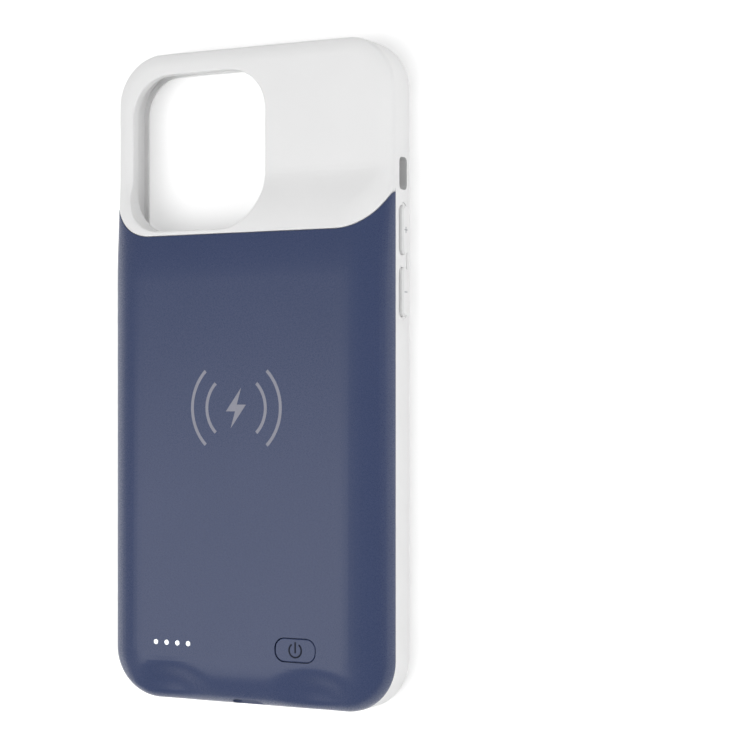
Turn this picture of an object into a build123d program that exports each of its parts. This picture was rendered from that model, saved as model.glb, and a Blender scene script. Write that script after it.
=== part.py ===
from build123d import *
import os
from math import atan2, cos, degrees, radians, sin

# Phone battery charging case, lying on its front rim with its back upwards.
# X runs across the phone, Y from the plug end to the camera end, Z from the front rim to the back.
# The origin is the middle of the rim's plane. All sizes are in millimetres.

# Phone that the pocket takes
PHONE_WIDTH = 77.6
PHONE_LENGTH = 160.7
PHONE_DEPTH = 7.85
POCKET_CLEARANCE = 0.1

# Clearances between pieces
FIT_GAP = 0.15
GLUE_GAP = 0.05
THREAD_GAP = 0.03
SEAM_GAP = 0.12
SWELL_GAP = 0.2

# Walls of the soft frame, from the outside inwards
COVER_WALL = 1.1
RIB_GAP = 0.1
RIB_WALL = 0.5
RIB_HEIGHT = 0.8
TRAY_GAP = 0.05
SIDE_LEDGE = 0.25
END_LEDGE = 1.8
LIP_DEPTH = 1.0
LIP_REACH = 1.2
LIP_BEVEL = 0.45
RIM_ROUND = 2.0
OUTER_CORNER = 13.2

# Back panel, ramp and seam
PANEL_WALL = 2.1
PANEL_EDGE = 4.0
SHOULDER_TIGHT = 0.7
SEAM_STRIP = 1.24
SEAM_CORNER = 14.1
SEAM_OVERRUN = 0.6
PANEL_SEAM_ROUND = 0.4
COVER_SEAM_ROUND = 0.15
RAMP_LAND = 0.8
RAMP_LENGTH = 15.4
RECESS_RIB = 1.2
RECESS_RIB_PITCH = 9.5

# Camera window, placed from the phone's edges
CAMERA_WIDTH = 40.1
CAMERA_LENGTH = 41.0
CAMERA_CORNER = 10.7
CAMERA_SIDE_MARGIN = 3.2
CAMERA_TOP_MARGIN = 2.15
CAMERA_EDGE_ROUND = 0.5

# Side keys and mute window, placed from the phone's camera end
KEY_WIDTH = 3.0
KEY_PROUD = 0.8
KEY_BEVEL = 0.4
KEY_REST = 0.2
KEY_FLANGE = 0.75
KEY_FLANGE_DEPTH = 0.6
KEY_WELL_DEPTH = 0.3
KEY_WELL_MARGIN = 0.8
VOLUME_KEY_LENGTH = 12.2
VOLUME_KEY_PITCH = 15.4
VOLUME_UP_MARGIN = 44.6
SIDE_KEY_LENGTH = 18.5
SIDE_KEY_MARGIN = 57.5
MUTE_LENGTH = 8.1
MUTE_WIDTH = 4.0
MUTE_CORNER = 1.2
MUTE_MARGIN = 30.55

# Tray, cell and pick-up coil
TRAY_WALL = 1.0
ADHESIVE_DEPTH = 0.2
ADHESIVE_WIDTH = 12.0
ADHESIVE_INSET = 6.0
CELL_DEPTH = 4.45
CELL_SIDE_INSET = 8.0
CELL_CORNER = 3.0
CELL_BEVEL = 0.8
CELL_END_GAP = 1.0
TERRACE_LENGTH = 2.0
TERRACE_DEPTH = 0.6
COIL_DEPTH = 0.55
COIL_RADIUS = 23.0
COIL_HOLE_RADIUS = 10.5
COIL_Y = -8.4
FERRITE_DEPTH = 0.5
FERRITE_SIZE = 50.0
FERRITE_CORNER = 2.0
COIL_LEAD_WIDTH = 0.9
COIL_LEAD_DEPTH = 0.3
COIL_LEAD_X = (10.4, 12.4)

# Protection board, tabs and jumpers
GUARD_LENGTH = 3.2
GUARD_WIDTH = 42.0
GUARD_DEPTH = 0.8
GUARD_GAP = 0.8
TAB_WIDTH = 4.0
TAB_DEPTH = 0.15
TAB_OVERLAP = 1.4
TAB_X = (-8.0, 8.0)
JUMPER_WIDTH = 1.2
JUMPER_DEPTH = 0.25
JUMPER_FOOT = 1.4
JUMPER_INSETS = (4.0, 7.0)

# Main board and what stands on it
BOARD_DEPTH = 1.0
BOARD_INSET = 6.0
BOARD_REACH = 23.0
INDUCTOR_SIZE = 5.5
INDUCTOR_DEPTH = 2.8
INDUCTOR_HEADROOM = 1.15
INDUCTOR_BEVEL = 0.8
CHIP_SIZE = 5.0
CHIP_DEPTH = 0.9
CHIP_X = -3.5
INDUCTOR_X = 5.0
CAPACITOR_SIZE = (2.0, 1.25, 1.0)
CAPACITOR_PITCH = 3.5
CAPACITOR_COUNT = 5
CAPACITOR_X = -3.0
CAPACITOR_INSET = 2.8
SCREW_DIAMETER = 1.4
SCREW_LENGTH = 3.2
SCREW_HEAD_DIAMETER = 2.6
SCREW_HEAD_DEPTH = 0.8
SCREW_HEAD_GAP = 0.2
SCREW_SIDE_INSET = 11.5
SCREW_TOP_INSET = 3.0
SCREW_ROW_PITCH = 9.5
BOSS_DIAMETER = 3.6

# Button, switch and lights
CONTROL_MARGIN = 15.4
BUTTON_X = 16.9
LIGHT_X = -19.6
BUTTON_LENGTH = 11.5
BUTTON_WIDTH = 5.8
BUTTON_CORNER = 2.6
BUTTON_GAP = 0.2
BUTTON_SINK = 0.1
BUTTON_BEVEL = 0.2
BUTTON_FLANGE = 0.9
BUTTON_FLANGE_DEPTH = 0.8
BUTTON_POST = 3.0
BUTTON_TRAVEL = 0.35
SWITCH_SIZE = 4.5
SWITCH_DEPTH = 1.2
PLUNGER_DIAMETER = 2.0
PLUNGER_RISE = 0.5
PLUNGER_ROOT = 0.4
LIGHT_COUNT = 4
LIGHT_PITCH = 3.27
LIGHT_DIAMETER = 1.4
LIGHT_BAR_WIDTH = 2.4
LIGHT_BAR_DEPTH = 1.0
LIGHT_CHIP = (1.6, 0.8, 0.6)

# Charging socket and the scoops beside it
SOCKET_WIDTH = 8.9
SOCKET_DEPTH = 3.2
SOCKET_LENGTH = 7.3
SOCKET_WALL = 0.35
SOCKET_BACK = 0.5
SOCKET_INSET = 1.8
SOCKET_SINK = 0.7
SOCKET_TONGUE_WIDTH = 6.6
SOCKET_TONGUE_DEPTH = 0.7
SOCKET_TONGUE_LENGTH = 4.6
SCOOP_X = 20.2
SCOOP_LENGTH = 20.5
SCOOP_DEPTH = 1.8
SCOOP_RADIUS = 17.0
SCOOP_ANGLE = 60.0
SCOOP_ROUND = 2.0

# Plug that the phone slides on to, and the sound slots beside it
PLUG_WIDTH = 6.7
PLUG_DEPTH = 1.5
PLUG_REACH = 6.7
PLUG_TIP_BEVEL = 0.5
PLUG_HOLDER_DEPTH = 1.0
PLUG_BOARD_WIDTH = 22.0
PLUG_BOARD_HEIGHT = 6.0
PLUG_BOARD_DEPTH = 0.6
CONTACT_COUNT = 8
CONTACT_PITCH = 0.68
CONTACT_WIDTH = 0.4
CONTACT_LENGTH = 2.6
CONTACT_DEPTH = 0.12
CONTACT_TIP_GAP = 1.0
FLEX_WIDTH = 4.0
FLEX_DEPTH = 0.2
FLEX_FOOT = 3.0
FLEX_SIDE_GAP = 0.6
SOUND_SLOT_LENGTH = 13.0
SOUND_SLOT_WIDTH = 2.6
SOUND_SLOT_X = 19.5

# Outline of the case and of its pocket
RIB_INSET = COVER_WALL + RIB_GAP
TRAY_INSET = RIB_INSET + RIB_WALL + TRAY_GAP
SIDE_WALL = TRAY_INSET + SIDE_LEDGE
END_WALL = TRAY_INSET + END_LEDGE
POCKET_HALF_WIDTH = PHONE_WIDTH / 2 + POCKET_CLEARANCE
POCKET_HALF_LENGTH = PHONE_LENGTH / 2 + POCKET_CLEARANCE
POCKET_CORNER = OUTER_CORNER - SIDE_WALL
HALF_WIDTH = POCKET_HALF_WIDTH + SIDE_WALL
HALF_LENGTH = POCKET_HALF_LENGTH + END_WALL
CORNER_X = HALF_WIDTH - OUTER_CORNER
CORNER_Y = HALF_LENGTH - OUTER_CORNER

# Levels, from the front rim to the back
MIDDLE_Z = LIP_DEPTH + (PHONE_DEPTH + POCKET_CLEARANCE) / 2
PARTING_Z = LIP_DEPTH + PHONE_DEPTH + POCKET_CLEARANCE
TRAY_TOP_Z = PARTING_Z + TRAY_WALL
CELL_STACK = ADHESIVE_DEPTH + CELL_DEPTH + SWELL_GAP + FERRITE_DEPTH + COIL_DEPTH + GLUE_GAP
BOSS_HEIGHT = INDUCTOR_DEPTH + INDUCTOR_HEADROOM
BOARD_STACK = SCREW_HEAD_GAP + SCREW_HEAD_DEPTH + BOARD_DEPTH + BOSS_HEIGHT
COVER_INNER_Z = TRAY_TOP_Z + max(CELL_STACK, BOARD_STACK)
BACK_Z = COVER_INNER_Z + COVER_WALL
HUMP_RISE = BACK_Z - PARTING_Z
HUMP_REACH = OUTER_CORNER
BOARD_TOP_Z = COVER_INNER_Z - BOSS_HEIGHT
BOARD_Z = BOARD_TOP_Z - BOARD_DEPTH
CELL_Z = TRAY_TOP_Z + ADHESIVE_DEPTH
GUARD_TOP_Z = CELL_Z + GUARD_DEPTH
COIL_TOP_Z = COVER_INNER_Z - GLUE_GAP
COIL_Z = COIL_TOP_Z - COIL_DEPTH

# Places along the case
CAMERA_X = -PHONE_WIDTH / 2 + CAMERA_SIDE_MARGIN + CAMERA_WIDTH / 2
CAMERA_Y = PHONE_LENGTH / 2 - CAMERA_TOP_MARGIN - CAMERA_LENGTH / 2
SEAM_Y = CAMERA_Y - CAMERA_LENGTH / 2 - SEAM_STRIP
RAMP_Y = SEAM_Y + RAMP_LAND
PANEL_Y = RAMP_Y + RAMP_LENGTH
VOLUME_UP_Y = PHONE_LENGTH / 2 - VOLUME_UP_MARGIN
VOLUME_DOWN_Y = VOLUME_UP_Y - VOLUME_KEY_PITCH
SIDE_KEY_Y = PHONE_LENGTH / 2 - SIDE_KEY_MARGIN
MUTE_Y = PHONE_LENGTH / 2 - MUTE_MARGIN
CONTROL_Y = CONTROL_MARGIN - HALF_LENGTH
BOARD_TOP_Y = BOARD_REACH - HALF_LENGTH
GUARD_Y = BOARD_TOP_Y + GUARD_GAP
CELL_Y = GUARD_Y + GUARD_LENGTH + GUARD_GAP
CELL_END_Y = SEAM_Y - COVER_WALL - CELL_END_GAP
LIGHT_PLACES = [LIGHT_X + LIGHT_PITCH * (i - (LIGHT_COUNT - 1) / 2) for i in range(LIGHT_COUNT)]
SCREW_PLACES = [
    (side * (HALF_WIDTH - SCREW_SIDE_INSET), BOARD_TOP_Y - SCREW_TOP_INSET - row * SCREW_ROW_PITCH)
    for side in (-1, 1)
    for row in (0, 1)
]

# Shares of the ramp at which its cross-section is drawn, the first and last close to its ends
RAMP_SHARES = (0.0, 0.1, 0.35, 0.65, 0.9, 1.0)
RECESS_SHARES = (0.0, 0.4, 0.8)

# How an edge is told to lie on a wall: where along it to look, how close, and how level it runs
EDGE_SHARES = (0.1, 0.5, 0.9)
EDGE_TOUCH = 0.005
EDGE_LEVEL = 0.99


def block(x_span, y_span, z_span):
    """Box between two places along each axis."""
    size = [span[1] - span[0] for span in (x_span, y_span, z_span)]
    middle = [(span[0] + span[1]) / 2 for span in (x_span, y_span, z_span)]
    return Pos(*middle) * Box(*size)


def around(middle, size):
    """Span of a size centred on a place."""
    return (middle - size / 2, middle + size / 2)


def prism(sketch, z_low, z_high):
    """Upright prism of a plan sketch between two levels."""
    return Pos(0, 0, z_low) * extrude(sketch, z_high - z_low)


def cross_prism(sketch, x_low, x_high, y, z):
    """Prism of a sketch drawn across the case's side, from one X to another."""
    plane = Plane(origin=(x_low, y, z), x_dir=(0, 1, 0), z_dir=(1, 0, 0))
    return extrude(plane * sketch, x_high - x_low)


def long_prism(sketch, y_low, y_high, x, z):
    """Prism of a sketch drawn across the case's end, from one Y to another."""
    plane = Plane(origin=(x, y_high, z), x_dir=(1, 0, 0), z_dir=(0, -1, 0))
    return extrude(plane * sketch, y_high - y_low)


def group(solids):
    """Separate solids that share one node."""
    return Compound(children=list(solids))


def plan(inset):
    """Rounded outline of the case, pulled in by an inset."""
    return RectangleRounded(2 * (HALF_WIDTH - inset), 2 * (HALF_LENGTH - inset), OUTER_CORNER - inset)


def ramp_blend(share):
    """Smooth step from the hump, at share 0, to the panel, at share 1."""
    return share * share * (3 - 2 * share)


def shoulder_radii(rise, reach):
    """Radii of a shoulder's two tangent arcs: the tight one by the side wall and the broad one above it."""
    tight = SHOULDER_TIGHT * rise
    broad = (reach * reach - 2 * reach * tight + rise * rise) / (2 * (rise - tight))
    return tight, broad


def shoulder(flat, rise, reach):
    """Two arcs from the side wall up to the edge of the flat top."""
    tight, broad = shoulder_radii(rise, reach)
    turn = degrees(atan2(broad - rise, reach - tight))
    lower = CenterArc((flat + reach - tight, 0), tight, 0, turn)
    upper = CenterArc((flat, rise - broad), broad, turn, 90 - turn)
    return [lower, upper]


def back_section(y, share, inset):
    """Cross-section of the back at one place: a flat top between two rounded shoulders."""
    blend = ramp_blend(share)
    rise = HUMP_RISE + (PANEL_WALL - HUMP_RISE) * blend - inset
    reach = HUMP_REACH + (PANEL_EDGE - HUMP_REACH) * blend - inset
    side = HALF_WIDTH - inset
    flat = side - reach
    right = shoulder(flat, rise, reach)
    left = [mirror(arc, Plane.YZ) for arc in right]
    top = Line((flat, rise), (-flat, rise))
    outline = [Line((-side, 0), (side, 0)), *right, top, *left]
    return Plane(origin=(0, y, PARTING_Z), x_dir=(1, 0, 0), z_dir=(0, -1, 0)) * make_face(outline)


def back_end(rise, reach, inset, sign):
    """One end of the back: a straight shoulder between two turned corners."""
    corner = OUTER_CORNER - inset
    flat = OUTER_CORNER - reach
    top = rise - inset
    outline = [Line((0, top), (0, 0)), Line((0, 0), (corner, 0)), *shoulder(flat, top, reach - inset)]
    if flat > 0:
        outline.append(Line((flat, top), (0, top)))
    profile = Plane.XZ * make_face(outline)
    quarter = revolve(profile, Axis.Z, 90)
    run = Rot(0, 0, 90) * extrude(profile, 2 * CORNER_X)
    end = Pos(-CORNER_X, 0, 0) * run + Pos(CORNER_X, 0, 0) * quarter
    end += Pos(-CORNER_X, 0, 0) * Rot(0, 0, 90) * quarter
    turn = 0 if sign > 0 else 180
    return Pos(0, sign * CORNER_Y, PARTING_Z) * Rot(0, 0, turn) * end


def hump_body(inset, y_end):
    """Battery hump from the plug end up to one place along the case."""
    run = extrude(back_section(y_end, 0.0, inset), y_end + CORNER_Y)
    return back_end(HUMP_RISE, HUMP_REACH, inset, -1) + run


def ramp_body(inset, shares):
    """Ramp from the hump down towards the panel."""
    return loft([back_section(RAMP_Y + share * RAMP_LENGTH, share, inset) for share in shares])


def panel_body():
    """Flat back panel beside the camera, from the foot of the ramp to the camera end."""
    run = extrude(back_section(CORNER_Y, 1.0, 0.0), CORNER_Y - PANEL_Y)
    return back_end(PANEL_WALL, PANEL_EDGE, 0.0, 1) + run


def seam_zone(grow):
    """Upright zone on the camera side of the seam, whose near edge curves up to the case's sides."""
    width = 2 * (HALF_WIDTH + SEAM_OVERRUN + grow)
    length = 2 * HALF_LENGTH
    outline = RectangleRounded(width, length, SEAM_CORNER + grow)
    return prism(Pos(0, SEAM_Y - grow + length / 2) * outline, PARTING_Z - RIB_HEIGHT, BACK_Z + RIB_HEIGHT)


def camera_window():
    """Rounded square hole that the camera looks through."""
    outline = RectangleRounded(CAMERA_WIDTH, CAMERA_LENGTH, CAMERA_CORNER)
    return prism(Pos(CAMERA_X, CAMERA_Y) * outline, LIP_DEPTH, BACK_Z + RIB_HEIGHT)


def lies_on(edge, walls):
    """True for a level edge above the parting plane that runs along one of the walls."""
    spots = [edge.position_at(share) for share in EDGE_SHARES]
    if min(spot.Z for spot in spots) < PARTING_Z + EDGE_TOUCH or abs(edge.tangent_at(0.5).Z) > EDGE_LEVEL:
        return False
    return all(min(wall.distance_to(spot) for wall in walls) < EDGE_TOUCH for spot in spots)


def round_cut(body, cutter, radius):
    """Round the edges that an upright cutter has left on the outer surface of the back."""
    walls = cutter.faces().filter_by(Axis.Z, reverse=True)
    return fillet([edge for edge in body.edges() if lies_on(edge, walls)], radius)


def scoop(side, grow):
    """Ring-shaped tool whose outer edge dishes the shoulder beside the socket."""
    half = SCOOP_LENGTH / 2
    sweep = (half * half + SCOOP_DEPTH * SCOOP_DEPTH) / (2 * SCOOP_DEPTH)
    broad = shoulder_radii(HUMP_RISE, HUMP_REACH)[1]
    away = broad + sweep - SCOOP_DEPTH
    turn = radians(SCOOP_ANGLE)
    y = -CORNER_Y - away * cos(turn)
    z = BACK_Z - broad + away * sin(turn)
    middle = sweep - SCOOP_RADIUS
    radius = SCOOP_RADIUS + grow
    outline = [CenterArc((middle, 0), radius, -90, 180), Line((middle, radius), (middle, -radius))]
    ring = revolve(Plane.XZ * make_face(outline), Axis.Z)
    return Pos(side * SCOOP_X, y, z) * Rot(-SCOOP_ANGLE, 0, 0) * ring


def scoop_rims(body):
    """Edges where the scoops meet the shoulders, the only free-form ones at the plug end."""
    end_edges = body.edges().filter_by_position(Axis.Y, -HALF_LENGTH, -CORNER_Y)
    return end_edges.filter_by(GeomType.BSPLINE)


def key_cutter(side, y, length):
    """Opening for one side key: a pill through the wall and a wider pocket for its flange."""
    hole = SlotOverall(length + 2 * FIT_GAP, KEY_WIDTH + 2 * FIT_GAP)
    spread = 2 * (KEY_FLANGE + FIT_GAP)
    pocket = SlotOverall(length + spread, KEY_WIDTH + spread)
    pocket_x = POCKET_HALF_WIDTH + KEY_REST + KEY_FLANGE_DEPTH + FIT_GAP
    cutter = cross_prism(hole, POCKET_HALF_WIDTH, HALF_WIDTH, y, MIDDLE_Z)
    cutter += cross_prism(pocket, POCKET_HALF_WIDTH - FIT_GAP, pocket_x, y, MIDDLE_Z)
    return cutter if side > 0 else mirror(cutter, Plane.YZ)


def key_well(side, y_low, y_high):
    """Shallow pill recess in the frame's side, round the keys."""
    outline = SlotOverall(y_high - y_low + 2 * KEY_WELL_MARGIN, KEY_WIDTH + 2 * KEY_WELL_MARGIN)
    well = cross_prism(outline, HALF_WIDTH - KEY_WELL_DEPTH, HALF_WIDTH, (y_low + y_high) / 2, MIDDLE_Z)
    return well if side > 0 else mirror(well, Plane.YZ)


def make_frame_loop():
    """Frame round the phone: side walls, front lip and the rib that the battery cover fits over."""
    loop = prism(plan(0), 0, PARTING_Z)
    loop = fillet(loop.faces().sort_by(Axis.Z)[0].edges(), RIM_ROUND)
    pocket = RectangleRounded(2 * POCKET_HALF_WIDTH, 2 * POCKET_HALF_LENGTH, POCKET_CORNER)
    loop -= prism(pocket, LIP_DEPTH, PARTING_Z)
    half_width = POCKET_HALF_WIDTH - LIP_REACH
    half_length = POCKET_HALF_LENGTH - LIP_REACH
    window = RectangleRounded(2 * half_width, 2 * half_length, POCKET_CORNER - LIP_REACH)
    loop -= prism(window, 0, LIP_DEPTH)
    loop = chamfer(loop.faces().sort_by(Axis.Z)[0].inner_wires().edges(), LIP_BEVEL)
    rib = prism(plan(RIB_INSET) - plan(RIB_INSET + RIB_WALL), PARTING_Z, PARTING_Z + RIB_HEIGHT)
    past_seam = block((-HALF_WIDTH, HALF_WIDTH), (SEAM_Y - SEAM_STRIP, HALF_LENGTH), (PARTING_Z, BACK_Z))
    return loop + (rib - past_seam)


def make_ramp_recess():
    """Hollow under the ramp beside the camera window, with stiffening ribs left across it."""
    x_low = CAMERA_X + CAMERA_WIDTH / 2 + PANEL_WALL
    x_high = POCKET_HALF_WIDTH - SIDE_LEDGE
    zone = block((x_low, x_high), (SEAM_Y + PANEL_WALL, PANEL_Y), (PARTING_Z, BACK_Z))
    hollow = ramp_body(PANEL_WALL, RECESS_SHARES) & zone & seam_zone(-PANEL_WALL)
    rib_count = int((x_high - x_low) / RECESS_RIB_PITCH)
    for i in range(rib_count):
        rib_x = x_low + (i + 1) * (x_high - x_low) / (rib_count + 1)
        hollow -= block(around(rib_x, RECESS_RIB), (SEAM_Y, PANEL_Y), (PARTING_Z, BACK_Z))
    return hollow


def make_plug_cutter():
    """Pocket in the plug-end wall for the plug's holder and board, open towards the tray."""
    depth = PLUG_HOLDER_DEPTH + PLUG_BOARD_DEPTH + 2 * GLUE_GAP
    width = around(0, PLUG_BOARD_WIDTH + 2 * FIT_GAP)
    low = MIDDLE_Z - PLUG_BOARD_HEIGHT / 2 - FIT_GAP
    return block(width, (-POCKET_HALF_LENGTH - depth, -POCKET_HALF_LENGTH), (low, PARTING_Z + RIB_HEIGHT))


def make_mouth_cutter():
    """Oval opening in the cover's end that the charging socket stands in."""
    outline = SlotOverall(SOCKET_WIDTH + 2 * FIT_GAP, SOCKET_DEPTH + 2 * FIT_GAP)
    return long_prism(outline, -HALF_LENGTH, -CORNER_Y - HUMP_REACH / 2, 0, socket_z())


def make_back_panel():
    """White back beyond the seam, with rounded edges at the seam and round the camera window."""
    back = hump_body(0.0, RAMP_Y) + ramp_body(0.0, RAMP_SHARES) + panel_body()
    panel = (back & seam_zone(0)) - camera_window()
    panel = round_cut(panel, camera_window(), CAMERA_EDGE_ROUND)
    panel = round_cut(panel, seam_zone(0), PANEL_SEAM_ROUND)
    return panel - make_ramp_recess()


def make_bumper_frame():
    """White soft moulding: frame, upper back panel and ramp in one piece."""
    frame = make_frame_loop() + make_back_panel()
    frame -= make_plug_cutter() + make_mouth_cutter()
    slot = SlotOverall(SOUND_SLOT_LENGTH, SOUND_SLOT_WIDTH)
    for side in (-1, 1):
        frame -= long_prism(slot, -HALF_LENGTH, -POCKET_HALF_LENGTH, side * SOUND_SLOT_X, MIDDLE_Z)
    half_key = VOLUME_KEY_LENGTH / 2
    frame -= key_well(1, VOLUME_DOWN_Y - half_key, VOLUME_UP_Y + half_key)
    for y in (VOLUME_UP_Y, VOLUME_DOWN_Y):
        frame -= key_cutter(1, y, VOLUME_KEY_LENGTH)
    frame -= key_well(-1, SIDE_KEY_Y - SIDE_KEY_LENGTH / 2, SIDE_KEY_Y + SIDE_KEY_LENGTH / 2)
    frame -= key_cutter(-1, SIDE_KEY_Y, SIDE_KEY_LENGTH)
    mute = RectangleRounded(MUTE_LENGTH, MUTE_WIDTH, MUTE_CORNER)
    return frame - cross_prism(mute, POCKET_HALF_WIDTH, HALF_WIDTH, MUTE_Y, MIDDLE_Z)


def make_key(side, y, length):
    """Side key: a bevelled pill that stands out of the frame, with a flange that keeps it in."""
    x_inner = POCKET_HALF_WIDTH + KEY_REST
    cap = cross_prism(SlotOverall(length, KEY_WIDTH), x_inner, HALF_WIDTH + KEY_PROUD, y, MIDDLE_Z)
    cap = chamfer(cap.faces().sort_by(Axis.X)[-1].edges(), KEY_BEVEL)
    flange = SlotOverall(length + 2 * KEY_FLANGE, KEY_WIDTH + 2 * KEY_FLANGE)
    key = cap + cross_prism(flange, x_inner, x_inner + KEY_FLANGE_DEPTH, y, MIDDLE_Z)
    return key if side > 0 else mirror(key, Plane.YZ)


def make_battery_cover():
    """Blue shell of the battery hump, with its button, light and socket openings."""
    hump = hump_body(0.0, RAMP_Y)
    outer = (hump + ramp_body(0.0, RAMP_SHARES)) - seam_zone(SEAM_GAP)
    outer = round_cut(outer, seam_zone(SEAM_GAP), COVER_SEAM_ROUND)
    cavity = hump_body(COVER_WALL, SEAM_Y - COVER_WALL)
    for side in (-1, 1):
        outer -= scoop(side, 0.0)
        cavity -= scoop(side, COVER_WALL)
    shell = fillet(scoop_rims(outer), SCOOP_ROUND) - cavity
    tray_side = HALF_WIDTH - TRAY_INSET + FIT_GAP
    tray_end = (SEAM_Y - 2 * COVER_WALL, SEAM_Y)
    shell -= block((-tray_side, tray_side), tray_end, (PARTING_Z, TRAY_TOP_Z + FIT_GAP))
    for x, y in SCREW_PLACES:
        boss = Pos(x, y) * prism(Circle(BOSS_DIAMETER / 2), BOARD_TOP_Z, BACK_Z)
        shell += boss & hump
        pilot_top = BOARD_Z + SCREW_LENGTH + SCREW_HEAD_GAP
        shell -= Pos(x, y) * prism(Circle(SCREW_DIAMETER / 2 + THREAD_GAP), BOARD_TOP_Z, pilot_top)
    button = RectangleRounded(
        BUTTON_LENGTH + 2 * BUTTON_GAP, BUTTON_WIDTH + 2 * BUTTON_GAP, BUTTON_CORNER + BUTTON_GAP
    )
    shell -= Pos(BUTTON_X, CONTROL_Y) * prism(button, COVER_INNER_Z - COVER_WALL, BACK_Z)
    light_hole = prism(Circle(LIGHT_DIAMETER / 2 + GLUE_GAP), COVER_INNER_Z - COVER_WALL, BACK_Z)
    for x in LIGHT_PLACES:
        shell -= Pos(x, CONTROL_Y) * light_hole
    return shell - make_mouth_cutter()


def make_power_button():
    """Press button of the back, with a flange under the cover and a post on the switch."""
    face = RectangleRounded(BUTTON_LENGTH, BUTTON_WIDTH, BUTTON_CORNER)
    flange_top = COVER_INNER_Z - FIT_GAP
    flange_low = flange_top - BUTTON_FLANGE_DEPTH
    cap = prism(face, flange_low, BACK_Z - BUTTON_SINK)
    cap = chamfer(cap.faces().sort_by(Axis.Z)[-1].edges(), BUTTON_BEVEL)
    spread = 2 * BUTTON_FLANGE
    flange = RectangleRounded(BUTTON_LENGTH + spread, BUTTON_WIDTH + spread, BUTTON_CORNER + BUTTON_FLANGE)
    post = prism(Circle(BUTTON_POST / 2), plunger_top(), flange_low)
    return Pos(BUTTON_X, CONTROL_Y) * (cap + prism(flange, flange_low, flange_top) + post)


def plunger_top():
    """Level of the switch plunger's top at rest."""
    return BOARD_TOP_Z + SWITCH_DEPTH + PLUNGER_RISE


def make_power_switch():
    """Tact switch body with the bore that its plunger sinks into."""
    top = BOARD_TOP_Z + SWITCH_DEPTH
    body = block(around(0, SWITCH_SIZE), around(0, SWITCH_SIZE), (BOARD_TOP_Z, top))
    bore_low = top - PLUNGER_ROOT - BUTTON_TRAVEL - GLUE_GAP
    body -= prism(Circle(PLUNGER_DIAMETER / 2 + GLUE_GAP), bore_low, top)
    return Pos(BUTTON_X, CONTROL_Y) * body


def make_switch_plunger():
    """Plunger that the button's post stands on."""
    stem = prism(Circle(PLUNGER_DIAMETER / 2), BOARD_TOP_Z + SWITCH_DEPTH - PLUNGER_ROOT, plunger_top())
    return Pos(BUTTON_X, CONTROL_Y) * stem


def make_status_lights():
    """Light chips on the board, one under each pin of the guide."""
    width, length, depth = LIGHT_CHIP
    top = BOARD_TOP_Z + depth
    return group(block(around(x, width), around(CONTROL_Y, length), (BOARD_TOP_Z, top)) for x in LIGHT_PLACES)


def make_light_guide():
    """Clear bar under the cover, with a square foot over each light chip and a round pin above it."""
    bar_top = COVER_INNER_Z - GLUE_GAP
    bar_low = bar_top - LIGHT_BAR_DEPTH
    bar_length = LIGHT_PITCH * (LIGHT_COUNT - 1) + LIGHT_BAR_WIDTH
    bar = SlotOverall(bar_length, LIGHT_BAR_WIDTH)
    guide = Pos(LIGHT_X, CONTROL_Y) * prism(bar, bar_low, bar_top)
    foot_z = (BOARD_TOP_Z + LIGHT_CHIP[2] + FIT_GAP, bar_low)
    for x in LIGHT_PLACES:
        guide += Pos(x, CONTROL_Y) * prism(Circle(LIGHT_DIAMETER / 2), bar_top, BACK_Z - GLUE_GAP)
        guide += block(around(x, LIGHT_CHIP[0]), around(CONTROL_Y, LIGHT_CHIP[0]), foot_z)
    return guide


def make_inner_tray():
    """Plate that closes the battery bay, with a bed for the socket and a notch for the plug's flex."""
    zone = Pos(0, SEAM_Y - FIT_GAP - HALF_LENGTH) * Rectangle(2 * HALF_WIDTH, 2 * HALF_LENGTH)
    tray = prism(plan(TRAY_INSET) & zone, PARTING_Z, TRAY_TOP_Z)
    x_span, y_low = flex_place()
    notch_x = (x_span[0] - FIT_GAP, x_span[1] + FIT_GAP)
    notch_y = (-HALF_LENGTH, y_low + FLEX_DEPTH + FIT_GAP)
    tray -= block(notch_x, notch_y, (PARTING_Z, TRAY_TOP_Z))
    bed_y = (-HALF_LENGTH, socket_mouth() + SOCKET_LENGTH + FIT_GAP)
    return tray - block(around(0, SOCKET_WIDTH + 2 * FIT_GAP), bed_y, (TRAY_TOP_Z - SOCKET_SINK, TRAY_TOP_Z))


def make_battery_cell():
    """Pouch cell with bevelled edges and the sealed terrace at its plug end."""
    length = CELL_END_Y - CELL_Y - TERRACE_LENGTH
    width = 2 * (HALF_WIDTH - CELL_SIDE_INSET)
    outline = Pos(0, CELL_END_Y - length / 2) * RectangleRounded(width, length, CELL_CORNER)
    cell = prism(outline, CELL_Z, CELL_Z + CELL_DEPTH)
    flat_faces = cell.faces().filter_by(Axis.Z)
    cell = chamfer(flat_faces.edges(), CELL_BEVEL)
    terrace_y = (CELL_Y, CELL_Y + TERRACE_LENGTH + CELL_BEVEL)
    return cell + block(around(0, GUARD_WIDTH), terrace_y, (GUARD_TOP_Z - TERRACE_DEPTH, GUARD_TOP_Z))


def make_cell_adhesive():
    """Adhesive strips under the cell and under its protection board."""
    z_span = (TRAY_TOP_Z, CELL_Z)
    strip_x = HALF_WIDTH - CELL_SIDE_INSET - ADHESIVE_INSET - ADHESIVE_WIDTH / 2
    strip_y = (CELL_Y + TERRACE_LENGTH + ADHESIVE_INSET, CELL_END_Y - ADHESIVE_INSET)
    strips = [block(around(side * strip_x, ADHESIVE_WIDTH), strip_y, z_span) for side in (-1, 1)]
    strips.append(block(around(0, GUARD_WIDTH), (GUARD_Y, GUARD_Y + GUARD_LENGTH), z_span))
    return group(strips)


def make_protection_board():
    """Small board that guards the cell, beside its terrace."""
    return block(around(0, GUARD_WIDTH), (GUARD_Y, GUARD_Y + GUARD_LENGTH), (CELL_Z, GUARD_TOP_Z))


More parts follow.
